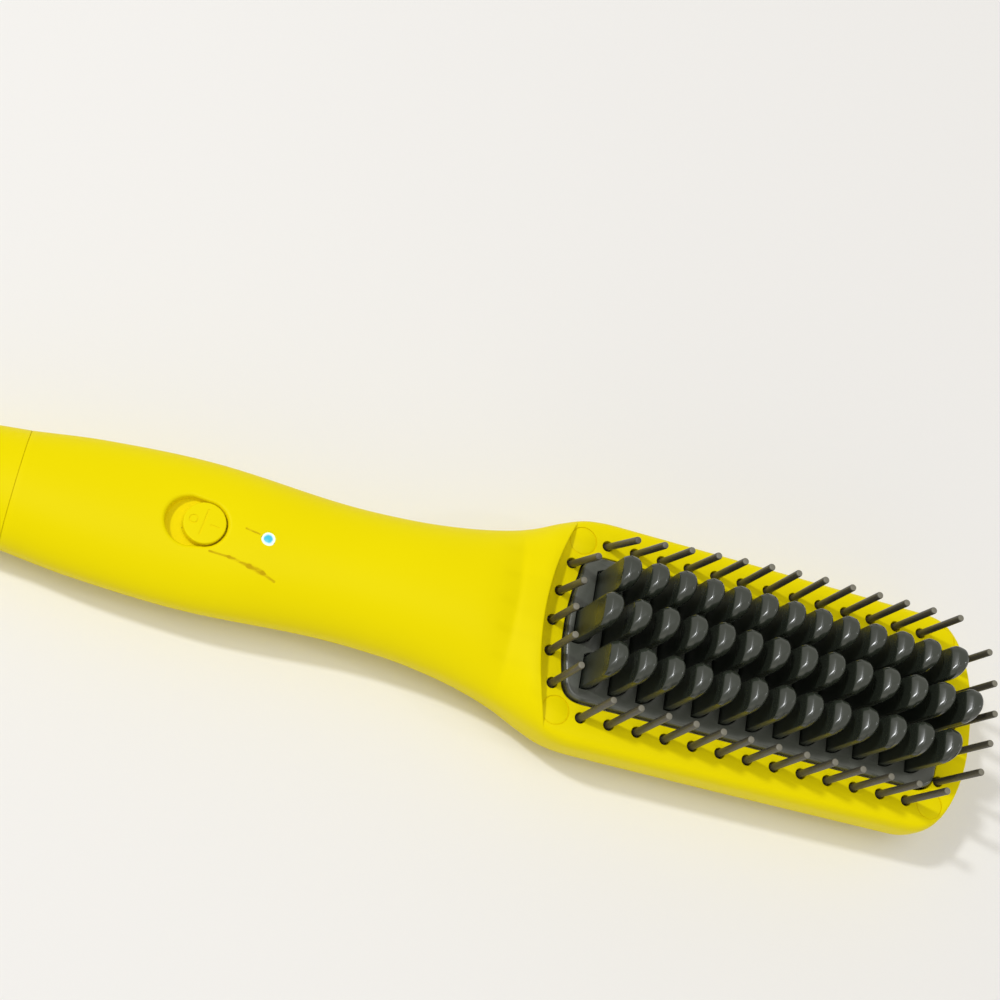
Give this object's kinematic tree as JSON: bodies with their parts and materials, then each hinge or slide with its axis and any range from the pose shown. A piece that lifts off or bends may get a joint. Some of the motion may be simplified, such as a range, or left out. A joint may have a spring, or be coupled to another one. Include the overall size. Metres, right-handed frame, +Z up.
{
  "type": "hair_straightening_brush",
  "caption": "Heated hair straightening brush in yellow plastic, with rows of dark rounded heating teeth inside a border of thin bristles, a sliding power switch and a small light.",
  "frame": {"origin": "middle of the head's flat back, on which the brush lies, straight under the middle of the bristle field", "axes": "+X along the brush from the handle to the far end of the head, +Y across it, +Z up out of the face, the way the teeth point"},
  "size_m": [0.265, 0.0558, 0.041],
  "materials": {
    "yellow_plastic": "satin moulded plastic",
    "dark_grey_plastic": "glossy moulded plastic",
    "bristle_nylon": "satin nylon",
    "black_plastic": "matt",
    "board_laminate": "satin solder mask",
    "led_body": "clear resin",
    "lit_lens": "clear, lit from behind",
    "tray_plastic": "heat-resistant moulded plastic",
    "spreader_aluminium": "plain",
    "heater_ceramic": "matt",
    "mica": "matt",
    "steel": "plated",
    "red_silicone": "matt",
    "black_rubber": "matt"
  },
  "bodies": {
    "housing": {"back_shell": "yellow_plastic", "bristles_left": "bristle_nylon", "bristles_neck": "bristle_nylon", "bristles_right": "bristle_nylon", "bristles_tip": "bristle_nylon", "contact_block": "black_plastic", "control_board": "board_laminate", "cover_plate": "dark_grey_plastic", "end_cap": "yellow_plastic", "front_shell": "yellow_plastic", "heat_spreader": "spreader_aluminium", "heat_tray": "tray_plastic", "heater_clamp": "steel", "heater_lead_left": "red_silicone", "heater_lead_right": "red_silicone", "heater_neck": "heater_ceramic", "heater_tip": "heater_ceramic", "insulation_sheet": "mica", "led_lens": "lit_lens", "mains_lead_left": "black_rubber", "mains_lead_right": "black_rubber", "plug_neck_left": "yellow_plastic", "plug_neck_right": "yellow_plastic", "plug_tip_left": "yellow_plastic", "plug_tip_right": "yellow_plastic", "screw_neck_left": "steel", "screw_neck_right": "steel", "screw_tip_left": "steel", "screw_tip_right": "steel", "status_led": "led_body", "switch_body": "black_plastic", "thermal_fuse": "steel", "thermistor": "black_plastic", "tooth_row_left": "dark_grey_plastic", "tooth_row_middle": "dark_grey_plastic", "tooth_row_right": "dark_grey_plastic"},
    "power_slider": {"switch_knob": "yellow_plastic", "switch_slider": "black_plastic"},
    "cord_swivel": {"cord_swivel": "dark_grey_plastic"}
  },
  "joints": [
    {"name": "power_slide", "type": "slide", "parent": "housing", "child": "power_slider", "axis": [0.9984, 0, 0.0558], "range_m": [-0.003, 0]},
    {"name": "swivel_turn", "type": "hinge", "parent": "housing", "child": "cord_swivel", "pos_m": [-0.2, 0, 0.011], "axis": [1, 0, 0], "continuous": true}
  ]
}
